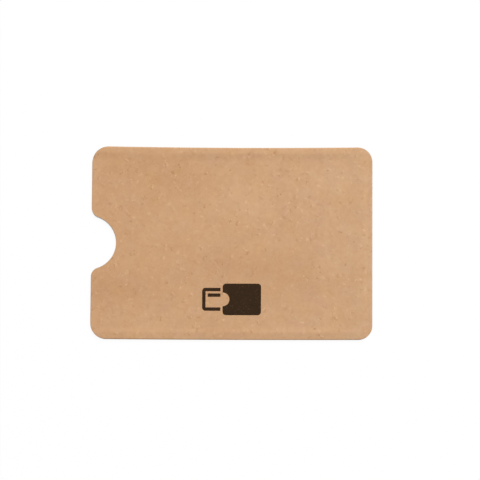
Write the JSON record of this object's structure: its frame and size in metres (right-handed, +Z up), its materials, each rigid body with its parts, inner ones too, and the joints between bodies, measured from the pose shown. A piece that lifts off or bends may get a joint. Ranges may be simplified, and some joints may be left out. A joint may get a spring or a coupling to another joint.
{
  "type": "rfid card sleeve",
  "caption": "Flat pocket of foil-lined kraft board that shields a bank or pass card, open at one short end with a thumb notch.",
  "frame": {"origin": "under the middle of the sleeve, on the surface that its back rests on", "axes": "+X along the sleeve towards its closed end, so the mouth and thumb notch face -X; +Y towards the upper long edge, away from the printed mark; +Z up out of the printed front"},
  "size_m": [0.091, 0.062, 0.0017],
  "materials": {
    "kraft_board": "uncoated brown kraft board, matt, with fibres and flecks",
    "foil_lining": "satin aluminium foil under a clear film",
    "seam_glue": "dried clear-to-ivory paper glue",
    "printing_ink": "matt dark brown ink, absorbed by the board"
  },
  "bodies": {
    "root": {"front_panel": "kraft_board", "back_panel": "kraft_board", "end_fold": "kraft_board", "upper_side_fold": "kraft_board", "lower_side_fold": "kraft_board", "upper_glue_flap": "kraft_board", "lower_glue_flap": "kraft_board", "front_foil": "foil_lining", "back_foil": "foil_lining", "end_fold_foil": "foil_lining", "upper_fold_foil": "foil_lining", "lower_fold_foil": "foil_lining", "upper_flap_foil": "foil_lining", "lower_flap_foil": "foil_lining", "upper_glue_line": "seam_glue", "lower_glue_line": "seam_glue", "printed_mark": "printing_ink"}
  },
  "joints": []
}
